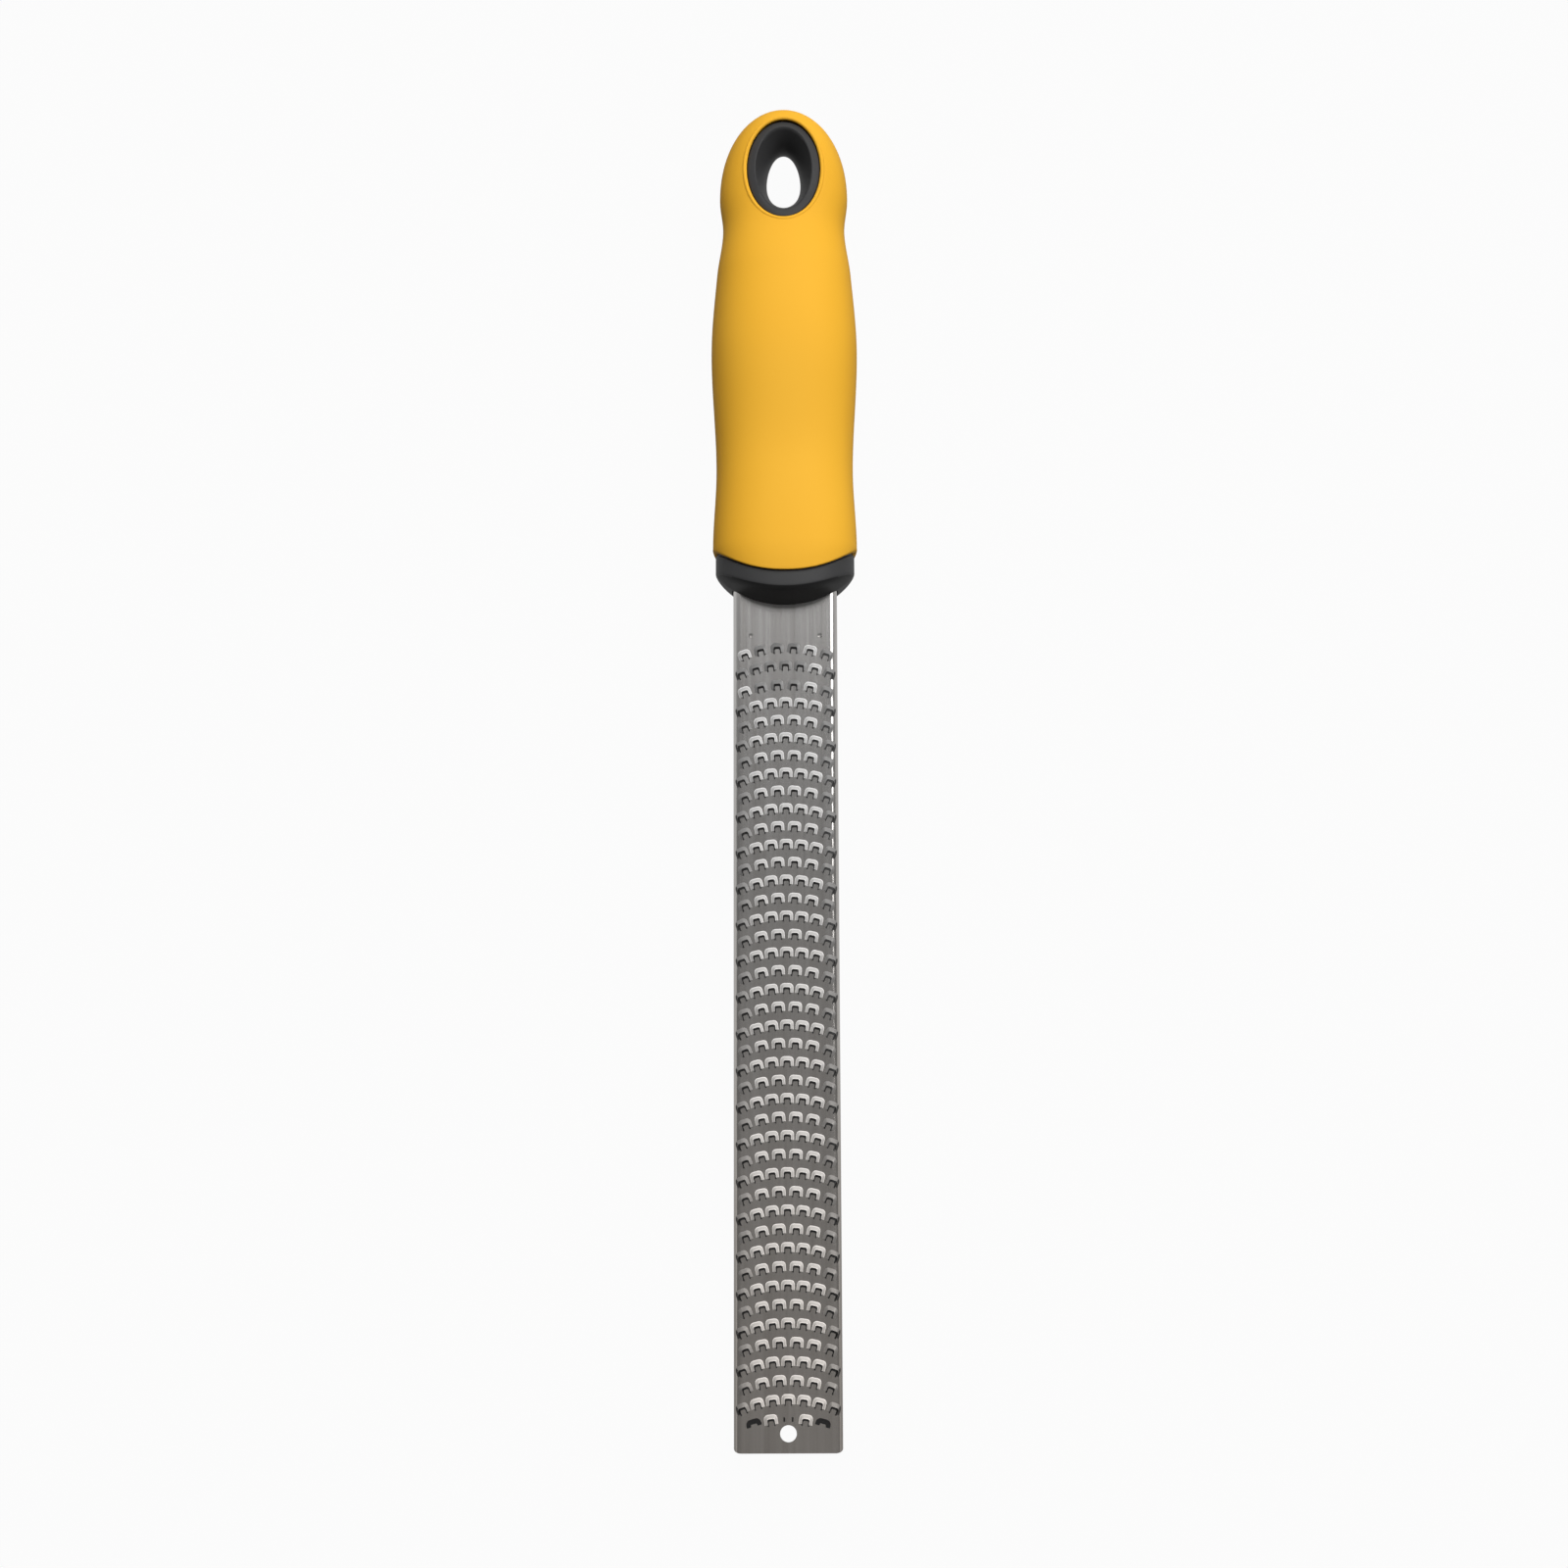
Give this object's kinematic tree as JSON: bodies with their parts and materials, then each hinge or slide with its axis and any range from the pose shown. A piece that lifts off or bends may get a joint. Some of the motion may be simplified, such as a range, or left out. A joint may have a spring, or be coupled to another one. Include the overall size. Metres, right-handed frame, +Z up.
{
  "type": "zester",
  "caption": "Hand zester: a narrow folded steel blade with arched rows of raised hood teeth in a soft waisted grip with a black ferrule and an oval hanging eye.",
  "frame": {"origin": "on the table, under the middle of the bounding box", "axes": "+X across the tool, +Y along it towards the hanging eye, +Z up out of the toothed face, with the tool lying on its back on the rails' ends and the grip"},
  "size_m": [0.0364, 0.332, 0.031],
  "materials": {
    "blade_steel": "photo-etched stainless steel, fine grain along the blade, bright tooth edges",
    "pin_steel": "plain turned steel",
    "core_plastic": "moulded, unpolished",
    "black_plastic": "satin moulded black",
    "soft_grip": "matt soft-touch yellow"
  },
  "bodies": {
    "root": {"blade": "blade_steel", "tang_pin_blade_end": "pin_steel", "tang_pin_eye_end": "pin_steel", "core_front_half": "core_plastic", "core_back_half": "core_plastic", "ferrule": "black_plastic", "hang_ring": "black_plastic", "grip_sleeve": "soft_grip"}
  },
  "joints": []
}
